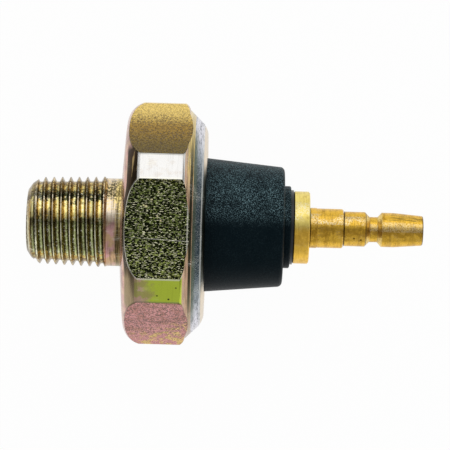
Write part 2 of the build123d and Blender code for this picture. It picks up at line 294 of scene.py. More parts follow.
class StageSettings(bpy.types.PropertyGroup):
    distance: FloatProperty(
        name="Camera distance", description="From the switch's axis", default=0.26, unit="LENGTH"
    )
    lens: FloatProperty(name="Lens", description="Focal length in mm", default=192.3, min=10)
    aim: FloatVectorProperty(
        name="Aim", description="What the camera looks at", default=(0.02125, 0.00004, 0), subtype="XYZ"
    )
    tilt: FloatProperty(
        name="Tilt", description="Lean from straight overhead", default=radians(2.7), subtype="ANGLE"
    )
    roll: FloatProperty(
        name="Roll", description="Turn about the view", default=radians(1.64), subtype="ANGLE"
    )
    key_power: FloatProperty(
        name="Key power", description="Softbox beyond the switch", default=0.36, min=0
    )
    top_power: FloatProperty(name="Top power", description="Soft light from above", default=1.2, min=0)
    overhead: FloatProperty(
        name="Overhead", description="The room's level straight above", default=0.2, min=0
    )
    walls: FloatProperty(name="Walls", description="The room's level at its sides", default=0.54, min=0)


# ---- building blocks for node trees ----


def plug(tree, socket, value):
    """Links another node's output to an input, or sets the input's own value."""
    if isinstance(value, bpy.types.NodeSocket):
        tree.links.new(value, socket)
    elif socket.type == "RGBA":
        socket.default_value = (*value, 1)
    else:
        socket.default_value = value


def add(tree, kind, inputs=None, **settings):
    """A node with its settings; inputs holds a value or another node's socket for each input."""
    made = tree.nodes.new(kind)
    for key, value in settings.items():
        setattr(made, key, value)
    for key, value in (inputs or {}).items():
        plug(tree, made.inputs[key], value)
    return made


def maths(tree, operation, *values, clamp=False):
    """One Math node, returned as its output."""
    inputs = dict(enumerate(values))
    return add(tree, "ShaderNodeMath", inputs, operation=operation, use_clamp=clamp).outputs[0]


def ramp_between(tree, value, low, high, to_low=0.0, to_high=1.0):
    """A smooth step of value from low to high."""
    inputs = {"Value": value, "From Min": low, "From Max": high, "To Min": to_low, "To Max": to_high}
    node = add(tree, "ShaderNodeMapRange", inputs, interpolation_type="SMOOTHSTEP")
    return node.outputs[0]


def band(tree, value, low, high, soft):
    """1 where value is from low to high, fading to 0 over soft outside."""
    rise = ramp_between(tree, value, low - soft, low)
    return maths(tree, "MULTIPLY", rise, ramp_between(tree, value, high + soft, high))


def product(tree, *masks):
    """Several masks multiplied together."""
    total = masks[0]
    for mask in masks[1:]:
        total = maths(tree, "MULTIPLY", total, mask)
    return total


def outside(tree, mask):
    """1 where a mask is 0, and 0 where it is 1."""
    return maths(tree, "SUBTRACT", 1.0, mask)


def shifted(tree, value, clouds, reach):
    """A value moved to and fro by noise that lies about 0.5."""
    return maths(tree, "MULTIPLY_ADD", maths(tree, "SUBTRACT", clouds, 0.5), reach, value)


def spot(tree, place, centre, size):
    """A small round mask at a point on the surface, all in mm."""
    away = add(tree, "ShaderNodeVectorMath", {0: place, 1: centre}, operation="DISTANCE")
    return ramp_between(tree, away.outputs["Value"], size, size * 0.4)


def blend_colours(tree, share, first, second):
    """Two colours mixed by share."""
    inputs = {0: share, 6: first, 7: second}
    return add(tree, "ShaderNodeMix", inputs, data_type="RGBA", clamp_factor=True).outputs[2]


def colour_ramp(tree, value, stops):
    """A colour that follows value from 0 to 1 through the stops, and round to the first again."""
    ramp = tree.nodes.new("ShaderNodeValToRGB")
    marks = ramp.color_ramp.elements
    marks[0].color = marks[1].color = (*stops[0][1], 1)
    for place, colour in stops[1:]:
        marks.new(place).color = (*colour, 1)
    tree.links.new(value, ramp.inputs[0])
    return ramp.outputs[0]


def vector(tree, x, y, z):
    """Three numbers as one vector."""
    return add(tree, "ShaderNodeCombineXYZ", {0: x, 1: y, 2: z}).outputs[0]


def noise(tree, where, scale, detail=2.0, roughness=0.5, distortion=0.0):
    """Noise from 0 to 1, with scale features to each unit of where."""
    inputs = {
        "Vector": where,
        "Scale": scale,
        "Detail": detail,
        "Roughness": roughness,
        "Distortion": distortion,
    }
    return add(tree, "ShaderNodeTexNoise", inputs).outputs[0]


def new_group(name, inputs, outputs):
    """A shader node group: inputs hold a number's default or None for a vector, outputs a kind."""
    tree = bpy.data.node_groups.new(name, "ShaderNodeTree")
    for key, default in inputs.items():
        kind = "NodeSocketVector" if default is None else "NodeSocketFloat"
        made = tree.interface.new_socket(key, in_out="INPUT", socket_type=kind)
        if default is not None:
            made.default_value = default
    for key, kind in outputs.items():
        tree.interface.new_socket(key, in_out="OUTPUT", socket_type=kind)
    source = tree.nodes.new("NodeGroupInput")
    sink = tree.nodes.new("NodeGroupOutput")
    return tree, source.outputs, sink.inputs


def use_group(tree, name, **inputs):
    """A shared effect placed in a material, returned as its outputs."""
    group = bpy.data.node_groups.get(name) or EFFECTS[name]()
    return add(tree, "ShaderNodeGroup", inputs, node_tree=group).outputs


# ---- shared effects ----


def switch_place():
    """Where a point lies: station along the axis, radius, and side from -1 to 1 across the switch."""
    tree, _, out = new_group(
        "switch_place",
        {},
        {
            "Place": "NodeSocketVector",
            "Station": "NodeSocketFloat",
            "Radius": "NodeSocketFloat",
            "Angle": "NodeSocketFloat",
            "Side": "NodeSocketFloat",
        },
    )
    point = add(tree, "ShaderNodeTexCoord").outputs["Object"]
    in_mm = {0: point, "Scale": 1 / MM}
    place = add(tree, "ShaderNodeVectorMath", in_mm, operation="SCALE").outputs[0]
    x, y, z = add(tree, "ShaderNodeSeparateXYZ", {0: place}).outputs
    squares = maths(tree, "ADD", maths(tree, "POWER", y, 2.0), maths(tree, "POWER", z, 2.0))
    radius = maths(tree, "SQRT", squares)
    tree.links.new(place, out["Place"])
    tree.links.new(x, out["Station"])
    tree.links.new(radius, out["Radius"])
    tree.links.new(maths(tree, "DEGREES", maths(tree, "ARCTAN2", y, z)), out["Angle"])
    tree.links.new(maths(tree, "DIVIDE", y, radius), out["Side"])
    return tree


def turned_lines():
    """The lines that a lathe tool leaves round a part: their height and a mask of the deep ones."""
    tree, given, out = new_group(
        "turned_lines",
        {"Place": None, "Pitch": 0.12, "Swirl": 0.1},
        {"Height": "NodeSocketFloat", "Deep": "NodeSocketFloat"},
    )
    x, y, z = add(tree, "ShaderNodeSeparateXYZ", {0: given["Place"]}).outputs
    spoke = {0: vector(tree, 0.0, y, z)}
    radius = add(tree, "ShaderNodeVectorMath", spoke, operation="LENGTH").outputs["Value"]
    # the radius counts too, so that faces square to the axis carry rings
    along = maths(tree, "MULTIPLY_ADD", radius, -0.7, x)
    across = maths(tree, "DIVIDE", along, given["Pitch"])
    where = vector(tree, across, product(tree, y, given["Swirl"]), product(tree, z, given["Swirl"]))
    fine = noise(tree, where, 1.0, roughness=0.65)
    broad = noise(tree, where, 0.23, detail=1.0)
    height = maths(tree, "ADD", fine, maths(tree, "MULTIPLY", broad, 0.6))
    tree.links.new(height, out["Height"])
    tree.links.new(ramp_between(tree, height, 0.8, 0.62), out["Deep"])
    return tree


def metal_grain():
    """Crowded small pits and ridges, longer along the switch's axis, with masks of dark and bright."""
    tree, given, out = new_group(
        "metal_grain",
        {"Place": None, "Size": 0.2, "Stretch": 2.0},
        {
            "Height": "NodeSocketFloat",
            "Mask": "NodeSocketFloat",
            "Bright": "NodeSocketFloat",
            "Strokes": "NodeSocketFloat",
        },
    )
    x, y, z = add(tree, "ShaderNodeSeparateXYZ", {0: given["Place"]}).outputs
    where = vector(tree, maths(tree, "DIVIDE", x, given["Stretch"]), y, z)
    scale = maths(tree, "DIVIDE", 1.0, given["Size"])
    coarse = noise(tree, where, scale, detail=3.0, roughness=0.75, distortion=0.15)
    fine = noise(tree, where, maths(tree, "MULTIPLY", scale, 1.9), detail=1.0, roughness=0.6)
    height = maths(tree, "ADD", coarse, maths(tree, "MULTIPLY", fine, 0.45))
    tree.links.new(height, out["Height"])
    tree.links.new(ramp_between(tree, coarse, 0.54, 0.59), out["Mask"])
    tree.links.new(ramp_between(tree, fine, 0.54, 0.62), out["Bright"])
    longer = maths(tree, "MULTIPLY", given["Stretch"], 1.8)
    drawn_out = vector(tree, maths(tree, "DIVIDE", x, longer), y, z)
    stroke = noise(tree, drawn_out, maths(tree, "MULTIPLY", scale, 1.5), detail=1.0)
    tree.links.new(ramp_between(tree, stroke, 0.605, 0.64), out["Strokes"])
    return tree


def scratches():
    """A mask of sparse short scratches."""
    tree, given, out = new_group(
        "scratches", {"Place": None, "Scale": 1.0, "Amount": 0.5}, {"Mask": "NodeSocketFloat"}
    )
    masks = []
    for turn, shift in ((0.5, 0.0), (-0.7, 7.0), (1.3, 13.0)):
        spun = add(
            tree,
            "ShaderNodeMapping",
            {
                "Vector": given["Place"],
                "Location": (shift, shift, shift),
                "Rotation": (turn, turn * 0.6, turn),
                "Scale": (0.35, 5.0, 5.0),
            },
        ).outputs[0]
        lines = noise(tree, spun, given["Scale"], detail=1.0, distortion=0.2)
        edge = maths(tree, "ABSOLUTE", maths(tree, "SUBTRACT", lines, 0.5))
        masks.append(ramp_between(tree, edge, 0.0, 0.012, 1.0, 0.0))
    patches = noise(tree, given["Place"], maths(tree, "MULTIPLY", given["Scale"], 0.6), detail=1.0)
    patch = ramp_between(tree, patches, maths(tree, "SUBTRACT", 1.0, given["Amount"]), 0.75)
    total = maths(tree, "MAXIMUM", maths(tree, "MAXIMUM", masks[0], masks[1]), masks[2])
    tree.links.new(maths(tree, "MULTIPLY", total, patch), out["Mask"])
    return tree


EFFECTS = {
    "switch_place": switch_place,
    "turned_lines": turned_lines,
    "metal_grain": metal_grain,
    "scratches": scratches,
}


# ---- materials ----


METAL = {"Metallic": 1.0}


def start_material(name):
    """A material with its tree, its Principled BSDF and the switch's own coordinates."""
    made = bpy.data.materials.new(name)
    made.use_nodes = True
    tree = made.node_tree
    shader = tree.nodes["Principled BSDF"]
    return made, tree, shader, use_group(tree, "switch_place")


def finish_surface(tree, shader, colour, roughness, height, depth, constants=None):
    """Connects colour, roughness and a bump of that depth in mm; constants go on plain sockets."""
    plug(tree, shader.inputs["Base Color"], colour)
    plug(tree, shader.inputs["Roughness"], roughness)
    for key, value in (constants or {}).items():
        shader.inputs[key].default_value = value
    bump = add(tree, "ShaderNodeBump", {"Height": height, "Distance": depth * MM, "Strength": 1.0})
    tree.links.new(bump.outputs[0], shader.inputs["Normal"])


def dress(names, material):
    """Gives CAD nodes a material."""
    for name in names:
        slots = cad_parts[name].data.materials
        slots.clear()
        slots.append(material)


def thread_film(tree, finish, place, cloud, patch, lines):
    """Film on the thread in painted light and shade: the lit gold copy on its upper side and tips, the
    dim olive copy elsewhere, a band of painted shade between, and stains in the grooves.
    """
    # how far through its turn a point lies, with some wander
    turns = maths(tree, "MULTIPLY_ADD", place["Station"], 1 / THREAD_PITCH, -CREST_TURN)
    wander = noise(tree, place["Place"], 3.0, detail=3.0, roughness=0.7)
    wander = maths(tree, "SUBTRACT", wander, 0.5)
    turns = maths(tree, "MULTIPLY_ADD", wander, 0.3, turns)
    turn = maths(tree, "FRACT", maths(tree, "MULTIPLY_ADD", place["Angle"], 1 / 360, turns))

    # the lit gold copy above and on the tips and the dim olive copy elsewhere, chosen by the side of the
    # switch as painted light; then a dark band of painted shade above the gold, and browned tips
    side = shifted(tree, place["Side"], patch, 0.35)
    side = maths(tree, "MULTIPLY_ADD", wander, 0.6, side)
    around = maths(tree, "ABSOLUTE", side)
    golden = band(tree, side, 0.13, 0.6, 0.07)
    upper_tips = ramp_between(tree, side, 0.72, 0.78)
    lower_tips = ramp_between(tree, side, -0.79, -0.86)
    tips = maths(tree, "MAXIMUM", upper_tips, lower_tips)
    olive, gold = colour_ramp(tree, turn, DIM_THREAD_TONES), colour_ramp(tree, turn, LIT_THREAD_TONES)
    tone = blend_colours(tree, maths(tree, "MAXIMUM", golden, tips), olive, gold)
    shaded = product(tree, band(tree, side, 0.6, 0.74, 0.04), 0.85)
    tone = blend_colours(tree, shaded, tone, finish.grime_and_shade)
    browned = blend_colours(tree, ramp_between(tree, wander, -0.12, 0.06), TIP_TAN, TIP_BROWN)
    share = product(tree, tips, ramp_between(tree, around, 0.85, 0.93, 0.45, 0.96))
    tone = blend_colours(tree, share, tone, browned)

    # dark specks, pale specks painted as glints, the first turn, tool lines and stains
    specks = noise(tree, place["Place"], 4.5, roughness=0.7)
    tone = blend_colours(tree, ramp_between(tree, specks, 0.59, 0.67, 0.0, 0.6), tone, finish.grime_and_shade)
    pale = blend_colours(tree, tips, PALE_GLINT, GOLD_GLINT)
    tone = blend_colours(tree, ramp_between(tree, specks, 0.42, 0.35, 0.0, 0.75), tone, pale)
    first_turn = ramp_between(tree, place["Station"], *FIRST_TURN, 0.0, 0.45)
    tone = blend_colours(tree, first_turn, tone, FIRST_TURN_BROWN)
    dirt_and_shade = blend_colours(tree, ramp_between(tree, cloud, 0.45, 0.55), finish.grime_and_shade, GROOVE_BROWN)
    streaks = product(tree, ramp_between(tree, lines["Height"], 0.82, 0.6), 0.35)
    tone = blend_colours(tree, streaks, tone, dirt_and_shade)
    stained_and_shaded = product(tree, ramp_between(tree, patch, 0.44, 0.36), 0.6)
    return blend_colours(tree, stained_and_shaded, tone, THREAD_STAIN)


def neck_film(tree, place, cloud, patch, lines):
    """Film on the plain neck: pale above as a painted highlight, tan and rose below, streaked gold by the
    hexagon, where its lower side is painted dark as shade.
    """
    side = shifted(tree, place["Side"], patch, 0.4)
    specks = noise(tree, place["Place"], 4.5, roughness=0.7)
    tan = blend_colours(tree, ramp_between(tree, cloud, 0.46, 0.56), NECK_TAN, NECK_ROSE)
    # pale on the upper side: painted highlight
    tone = blend_colours(tree, ramp_between(tree, side, -0.02, 0.18), tan, NECK_HIGHLIGHT)
    flecks = ramp_between(tree, specks, 0.5, 0.4, 0.0, 0.7)
    gilded = product(tree, ramp_between(tree, side, 0.2, 0.4), flecks)
    tone = blend_colours(tree, gilded, tone, NECK_GOLD)
    shaded = product(tree, band(tree, side, 0.6, 0.86, 0.1), ramp_between(tree, specks, 0.44, 0.52))
    tone = blend_colours(tree, shaded, tone, NECK_SHADE)

    # the gilt by the hexagon, dark on its lower side as painted shade from the hexagon, and the tool
    # lines
    gilt = blend_colours(tree, ramp_between(tree, side, -0.16, -0.04), GILT_HEXAGON_SHADE, GILT_ABOVE)
    on_top = ramp_between(tree, side, 0.12, 0.25)
    mottled = product(tree, ramp_between(tree, specks, 0.44, 0.54), on_top, 0.8)
    gilt = blend_colours(tree, mottled, gilt, GILT_MOTTLE)
    near = ramp_between(tree, shifted(tree, place["Station"], patch, 0.8), *GILT_STARTS)
    tone = blend_colours(tree, product(tree, near, 0.85), tone, gilt)
    streaks = ramp_between(tree, lines["Height"], 0.85, 0.62, 0.0, 0.8)
    streaks = product(tree, streaks, maths(tree, "MULTIPLY_ADD", near, 0.7, 0.3))
    return blend_colours(tree, streaks, tone, NECK_LINES)


def hexagon_film(tree, finish, place, on_flat, cloud, patch, lines):
    """Film on the hexagon, whose tint follows each face and its skin."""
    side, x = place["Side"], place["Station"]
    around = maths(tree, "ABSOLUTE", side)

    # the rolled flats
    above, below = ramp_between(tree, side, 0.34, 0.57), ramp_between(tree, side, -0.34, -0.57)
    flat = blend_colours(tree, ramp_between(tree, side, -0.05, -0.2), finish.olive, FLAT_GREEN)
    flat = blend_colours(tree, above, flat, finish.gold)
    mottled = blend_colours(tree, ramp_between(tree, patch, 0.42, 0.6), finish.rose, FLAT_RED)
    flat = blend_colours(tree, below, flat, mottled)
    # painted shade: the upper flats turn tan, then brown, towards their lower edge
    top_flat_shade = product(tree, ramp_between(tree, side, 0.985, 0.87), above)
    flat = blend_colours(tree, top_flat_shade, flat, FLAT_SHADE_TAN)
    browned = product(tree, ramp_between(tree, side, 0.9, 0.66), above)
    flat = blend_colours(tree, browned, flat, FLAT_SHADE_BROWN)
    edge = maths(tree, "MULTIPLY_ADD", x, 0.02, maths(tree, "MULTIPLY", side, -1.0))
    far = product(tree, ramp_between(tree, edge, 1.14, 1.26), ramp_between(tree, patch, 0.44, 0.58))
    flat = blend_colours(tree, product(tree, far, 0.7), flat, finish.gold)

    # the turned corners between them
    smudge = product(tree, ramp_between(tree, patch, 0.5, 0.68), 0.4)
    pale = blend_colours(tree, smudge, finish.pale, CORNER_SMUDGE)
    inward = shifted(tree, shifted(tree, x, cloud, 3.5), patch, 4.0)
    worn = blend_colours(tree, ramp_between(tree, patch, 0.46, 0.56), CORNER_OLIVE, CORNER_ROSE)
    green = blend_colours(tree, ramp_between(tree, inward, 14.4, 12.8), finish.green, worn)
    corner = blend_colours(tree, ramp_between(tree, side, 0.05, -0.05), pale, green)
    corner = blend_colours(tree, ramp_between(tree, around, 0.86, 0.96), corner, finish.gold)

    # the shoulder by the neck
    turned = blend_colours(tree, ramp_between(tree, patch, 0.4, 0.6), TURNED_ROSE, TURNED_TAN)
    # the shoulder's front beside the corner, painted near black with paler crest lines and tan lower
    # down: partly a stain, partly painted shade
    stain_and_shade_start = ramp_between(tree, around, 0.15, 0.4, 10.6, 10.9)
    stained_and_shaded = ramp_between(tree, maths(tree, "SUBTRACT", x, stain_and_shade_start), 0.0, 0.1)
    stained_and_shaded = product(tree, stained_and_shaded, ramp_between(tree, around, 0.72, 0.64), 0.95)
    crests = ramp_between(tree, lines["Height"], 0.88, 0.96)
    shoulder_stain_and_shade = blend_colours(tree, crests, SHOULDER_SHADE, SHOULDER_LINES)
    shoulder_stain_and_shade = blend_colours(tree, ramp_between(tree, side, -0.3, -0.45), shoulder_stain_and_shade, SHOULDER_TAN)
    shoulder = blend_colours(tree, stained_and_shaded, turned, shoulder_stain_and_shade)
    corner = blend_colours(tree, ramp_between(tree, x, *SHOULDER_ENDS), corner, shoulder)

    # the chamfer by the lip, and the seam between them, painted as a dark line of shade
    outward = shifted(tree, x, cloud, 1.0)
    golden = product(tree, ramp_between(tree, outward, 17.1, 17.3), ramp_between(tree, side, 0.3, 0.6))
    chamfer = blend_colours(tree, 0.5, turned, CHAMFER_TAN)
    chamfer = blend_colours(tree, product(tree, golden, 0.9), chamfer, CHAMFER_GOLD)
    streaks = ramp_between(tree, lines["Height"], 0.85, 0.6, 0.0, 0.55)
    chamfer = blend_colours(tree, streaks, chamfer, CHAMFER_LINES)
    corner = blend_colours(tree, ramp_between(tree, x, *CHAMFER_STARTS), corner, chamfer)
    tone = blend_colours(tree, on_flat, corner, flat)
    # painted shade along the seam, darkest across the front and back
    seam = product(tree, band(tree, x, *CRIMP_SEAM), ramp_between(tree, around, 0.9, 0.6, 0.25, 1.0))
    seam_shade = blend_colours(tree, ramp_between(tree, around, 0.4, 0.7), SEAM_SHADE_FRONT, SEAM_SHADE_SIDES)
    return blend_colours(tree, product(tree, seam, 0.95), tone, seam_shade)


def lip_film(tree, finish, place, speckle):
    """The crimped lip: speckled bare zinc, paler towards the top and bottom and dark across the front and
    back as painted light and shade, with a painted highlight along its rim.
    """
    around, x = maths(tree, "ABSOLUTE", place["Side"]), place["Station"]
    # painted light and shade: pale towards the top and bottom, dark across the front and back
    tone = blend_colours(tree, ramp_between(tree, around, 0.6, 0.95), finish.burnished, LIP_LIT_SIDES)
    front = product(tree, ramp_between(tree, around, 0.85, 0.35), 0.92)
    tone = blend_colours(tree, front, tone, LIP_SHADED_FRONT)
    lines = use_group(tree, "turned_lines", Place=place["Place"], Pitch=0.12, Swirl=1.6)
    streaks = ramp_between(tree, lines["Height"], 0.9, 0.62, 0.0, 0.75)
    tone = blend_colours(tree, streaks, tone, LIP_LINES)
    tone = blend_colours(tree, product(tree, speckle, 0.4), tone, LIP_SPECKS)
    shaded = product(tree, ramp_between(tree, x, 18.4, 17.95), ramp_between(tree, around, 0.97, 0.75))
    tone = blend_colours(tree, product(tree, shaded, 0.8), tone, LIP_SHADE)
    # the end face, dark across the front and back as painted shade
    face = blend_colours(tree, ramp_between(tree, around, 0.5, 0.7), LIP_FACE_SHADE, LIP_FACE_SIDES)
    tone = blend_colours(tree, ramp_between(tree, x, *LIP_FACE_STARTS), tone, face)
    # a pale line along the rim: painted highlight
    return blend_colours(tree, product(tree, band(tree, x, *LIP_RIM), 0.42), tone, LIP_RIM_HIGHLIGHT)


def plated_steel(finish):
    """Zinc plate with a yellow passivation film, whose tint follows the facet and its finish."""
    material, tree, shader, place = start_material("plated_steel")
    where, x, radius, side = place["Place"], place["Station"], place["Radius"], place["Side"]
    around = maths(tree, "ABSOLUTE", side)

    # which part of the body this is
    facet = maths(tree, "RADIANS", maths(tree, "WRAP", place["Angle"], 30.0, -30.0))
    outward = maths(tree, "MULTIPLY", radius, maths(tree, "COSINE", facet))
    across = maths(tree, "MULTIPLY", radius, maths(tree, "SINE", facet))
    to_flat = maths(tree, "SUBTRACT", outward, FLAT_RADIUS)
    on_hexagon = ramp_between(tree, x, *HEXAGON_STARTS)
    on_flat = ramp_between(tree, maths(tree, "ABSOLUTE", to_flat), 0.03, 0.01)
    on_flat = product(tree, on_flat, on_hexagon)
    turned = outside(tree, on_flat)
    on_neck = band(tree, x, *NECK)
    on_lip = ramp_between(tree, x, *LIP_STARTS)

    cloud = noise(tree, where, 0.45, detail=3.0, roughness=0.55)
    patch = noise(tree, where, 1.1, detail=3.0, roughness=0.6)
    lines = use_group(tree, "turned_lines", Place=where, Pitch=finish.line_pitch, Swirl=0.35)
    grain = use_group(tree, "metal_grain", Place=where, Size=finish.grain_size, Stretch=1.8)
    coarser = finish.grain_size * 1.7
    side_grain = use_group(tree, "metal_grain", Place=where, Size=coarser, Stretch=0.8)
    marks = use_group(tree, "scratches", Place=where, Scale=0.8, Amount=0.5)

    colour = thread_film(tree, finish, place, cloud, patch, lines)
    colour = blend_colours(tree, on_neck, colour, neck_film(tree, place, cloud, patch, lines))
    hexagon = hexagon_film(tree, finish, place, on_flat, cloud, patch, lines)
    colour = blend_colours(tree, on_hexagon, colour, hexagon)
    colour = blend_colours(tree, on_lip, colour, lip_film(tree, finish, place, grain["Bright"]))

    # rolled skin on the flats, strongest on the front one
    front = ramp_between(tree, around, 0.62, 0.5)
    sides = outside(tree, front)
    skin = maths(tree, "MULTIPLY", on_flat, maths(tree, "MULTIPLY_ADD", front, 0.27, 0.73))
    front_pits = product(tree, front, outside(tree, grain["Mask"]))
    side_pits = product(tree, sides, ramp_between(tree, side_grain["Height"], 0.67, 0.8))
    side_pits = product(tree, side_pits, ramp_between(tree, around, 0.985, 0.93, 0.5, 1.0))
    pitted = product(tree, skin, maths(tree, "ADD", front_pits, side_pits))
    colour = blend_colours(tree, pitted, colour, blend_colours(tree, front, SIDE_PITS, finish.grime_and_shade))
    # pale strokes on the front flat, painted as glints
    thinned = ramp_between(tree, patch, 0.35, 0.6, 0.45, 1.0)
    strokes = product(tree, on_flat, front, grain["Strokes"], thinned)
    stronger = ramp_between(tree, side, -0.05, -0.2, 1.0, 1.3)
    strokes = maths(tree, "MULTIPLY", strokes, stronger, clamp=True)
    colour = blend_colours(tree, strokes, colour, GLINT_STROKES)
    for centre, size in FLAT_SCUFFS:
        scuff = product(tree, spot(tree, where, centre, size), 0.8)
        colour = blend_colours(tree, scuff, colour, SCUFFED_GOLD)

    # tool lines on the turned parts, and a dark line and dull edges on the side flats
    cut = maths(tree, "MULTIPLY_ADD", band(tree, x, *CUT_DEEPER), 0.32, 0.08)
    colour = blend_colours(tree, product(tree, lines["Deep"], turned, cut), colour, finish.grime_and_shade)
    lower_flat = ramp_between(tree, side, -0.5, -0.6)
    lower_line = product(tree, band(tree, across, 0.63, 0.69, 0.03), on_flat, lower_flat)
    colour = blend_colours(tree, product(tree, lower_line, 0.8), colour, finish.grime_and_shade)
    before_chamfer = ramp_between(tree, x, 17.1, 16.9)
    flat_edge = product(tree, band(tree, to_flat, -0.09, -0.02, 0.015), on_hexagon, before_chamfer)
    colour = blend_colours(tree, product(tree, flat_edge, sides, 0.5), colour, finish.grime_and_shade)

    # bare zinc: a scribed line and the scratches, and the front flat's edges in the same pale colour as a
    # painted highlight
    leaning = maths(tree, "MULTIPLY_ADD", x, 0.045, across)
    deepening = ramp_between(tree, x, 12.9, 13.8, 0.3, 1.0)
    scribed = product(tree, band(tree, leaning, -0.45, -0.41, 0.02), on_flat, deepening)
    scribed = product(tree, scribed, front, ramp_between(tree, patch, 0.36, 0.5, 0.3, 1.0))
    # painted highlight along the front flat's edges
    by_lip = product(tree, band(tree, x, *EDGE_HIGHLIGHT_BY_LIP), on_flat, front, 0.8)
    edge_highlight = maths(tree, "MAXIMUM", product(tree, flat_edge, front, 0.75), by_lip)
    rubbed = product(tree, marks["Mask"], turned)
    wear_and_highlight = maths(tree, "MAXIMUM", scribed, maths(tree, "MAXIMUM", edge_highlight, rubbed))
    colour = blend_colours(tree, product(tree, wear_and_highlight, 0.75), colour, ZINC_WEAR_AND_HIGHLIGHT)
    for centre, size in CORNER_PITS:
        colour = blend_colours(tree, spot(tree, where, centre, size), colour, PIT_DIRT)

    skin_height = product(tree, grain["Height"], skin, finish.grain_depth)
    line_height = product(tree, lines["Height"], turned, finish.line_depth)
    height = maths(tree, "ADD", skin_height, line_height)
    roughness = maths(tree, "MULTIPLY_ADD", on_flat, -0.03, 0.22)
    roughness = maths(tree, "MULTIPLY_ADD", on_lip, 0.06, roughness)
    finish_surface(tree, shader, colour, roughness, height, 1.0, METAL)
    return material


def moulded_plastic(finish):
    """Dark phenolic with a fine matt mould texture and pale specks on the side towards +Y, partly dust
    and partly painted sheen.
    """
    material, tree, shader, place = start_material("moulded_plastic")
    where = place["Place"]
    texture = use_group(tree, "metal_grain", Place=where, Size=finish.texture_size, Stretch=1.0)
    cloud = noise(tree, where, 0.6, detail=3.0)
    # more pale specks towards +Y: partly dust, partly painted sheen
    settled = ramp_between(tree, place["Side"], 0.0, 0.35, 0.05, 1.0)
    dust = product(tree, settled, ramp_between(tree, cloud, 0.25, 0.6, 0.4, 1.0))
    specks = product(tree, maths(tree, "MULTIPLY_ADD", texture["Bright"], 0.9, 0.01), dust)
    colour = blend_colours(tree, specks, finish.plastic, finish.dust_and_sheen)
    matt = {"Specular IOR Level": 0.05}
    finish_surface(tree, shader, colour, 0.42, texture["Height"], finish.texture_depth, matt)
    return material


def turned_brass(finish):
    """Lathe-turned brass with tarnished patches, handling scuffs, painted highlights, and painted shade
    in its corners and dents.
    """
    material, tree, shader, place = start_material("turned_brass")
    where, side, x = place["Place"], place["Side"], place["Station"]
    lines = use_group(tree, "turned_lines", Place=where, Pitch=finish.line_pitch, Swirl=0.9)
    marks = use_group(tree, "scratches", Place=where, Scale=2.2, Amount=0.6)
    patch = noise(tree, where, 1.3, detail=4.0, roughness=0.65)
    cloud = noise(tree, where, 0.5)
    speckle = noise(tree, where, 8.0, roughness=0.7)

    # clean brass, paler on the bevels; the collar painted pale above as a painted highlight and deeper
    # gold below as painted shade
    collar = ramp_between(tree, x, *COLLAR_ENDS)
    gilt = blend_colours(tree, ramp_between(tree, side, 0.15, -0.1), COLLAR_HIGHLIGHT, COLLAR_SHADED_GOLD)
    colour = blend_colours(tree, collar, finish.brass, gilt)
    inner_bevel, outer_bevel = (band(tree, x, *bevel) for bevel in TERMINAL_BEVELS)
    bevels = maths(tree, "MAXIMUM", inner_bevel, outer_bevel)
    colour = blend_colours(tree, bevels, colour, BEVEL_BRASS)

    # tarnish in patches, tool lines and specks, less of it on the collar
    low = band(tree, side, -0.3, 0.0, 0.2)
    dull = ramp_between(tree, maths(tree, "MULTIPLY_ADD", low, 0.16, patch), 0.52, 0.7)
    dulled = product(tree, dull, maths(tree, "MULTIPLY_ADD", collar, -0.3, 0.55))
    colour = blend_colours(tree, dulled, colour, finish.tarnish)
    off_collar = maths(tree, "MULTIPLY_ADD", collar, -0.6, 1.0)
    streaks = ramp_between(tree, lines["Height"], 0.85, 0.62, 0.0, 0.45)
    colour = blend_colours(tree, product(tree, streaks, off_collar), colour, finish.tarnish)
    specks = ramp_between(tree, speckle, 0.52, 0.66, 0.0, 0.6)
    colour = blend_colours(tree, product(tree, specks, off_collar), colour, finish.tarnish)

    # scuffs on the shank, partly painted highlight along its upper side, and a painted highlight along
    # the bullet
    rubbed = product(tree, band(tree, side, 0.3, 0.68, 0.12), ramp_between(tree, cloud, 0.44, 0.54))
    on_shank = ramp_between(tree, x, 37.0, 35.5)
    rubbed = product(tree, rubbed, ramp_between(tree, speckle, 0.54, 0.44), on_shank)
    on_bullet = ramp_between(tree, x, 36.7, 36.9)
    # painted highlight along the bullet
    bullet_highlight = product(tree, band(tree, side, -0.02, 0.42, 0.12), on_bullet, 0.55)
    bullet_highlight = product(tree, bullet_highlight, ramp_between(tree, speckle, 0.6, 0.46))
    rubbed = maths(tree, "MAXIMUM", rubbed, bullet_highlight)
    scuffs = maths(tree, "MAXIMUM", rubbed, product(tree, marks["Mask"], 0.5))
    colour = blend_colours(tree, product(tree, scuffs, 0.7), colour, finish.scuffed_and_lit)

    # dirt dragged along the bullet, painted shade in the corners, and dark spots painted as the dents'
    # shade
    along = add(tree, "ShaderNodeMapping", {"Vector": where, "Scale": (0.6, 7.0, 7.0)}).outputs[0]
    dragged = product(tree, ramp_between(tree, noise(tree, along, 1.0), 0.48, 0.6), 0.55)
    to_nose = ramp_between(tree, x, 38.2, 39.6)
    dragged = product(tree, dragged, band(tree, side, 0.62, 0.85, 0.08), to_nose)
    colour = blend_colours(tree, dragged, colour, DRAGGED_DIRT)
    for corner, width, share in TERMINAL_CORNER_SHADE:
        dirt_and_shade = band(tree, x, corner - width, corner + width, 0.03)
        colour = blend_colours(tree, product(tree, dirt_and_shade, share), colour, CORNER_SHADE_BROWN)
    for centre, size in TERMINAL_DENTS:
        colour = blend_colours(tree, spot(tree, where, centre, size), colour, DENT_SHADE)

    roughness = maths(tree, "MULTIPLY_ADD", dull, 0.1, 0.3)
    roughness = maths(tree, "MULTIPLY_ADD", collar, 0.07, roughness)
    finish_surface(tree, shader, colour, roughness, lines["Height"], finish.line_depth, METAL)
    return material


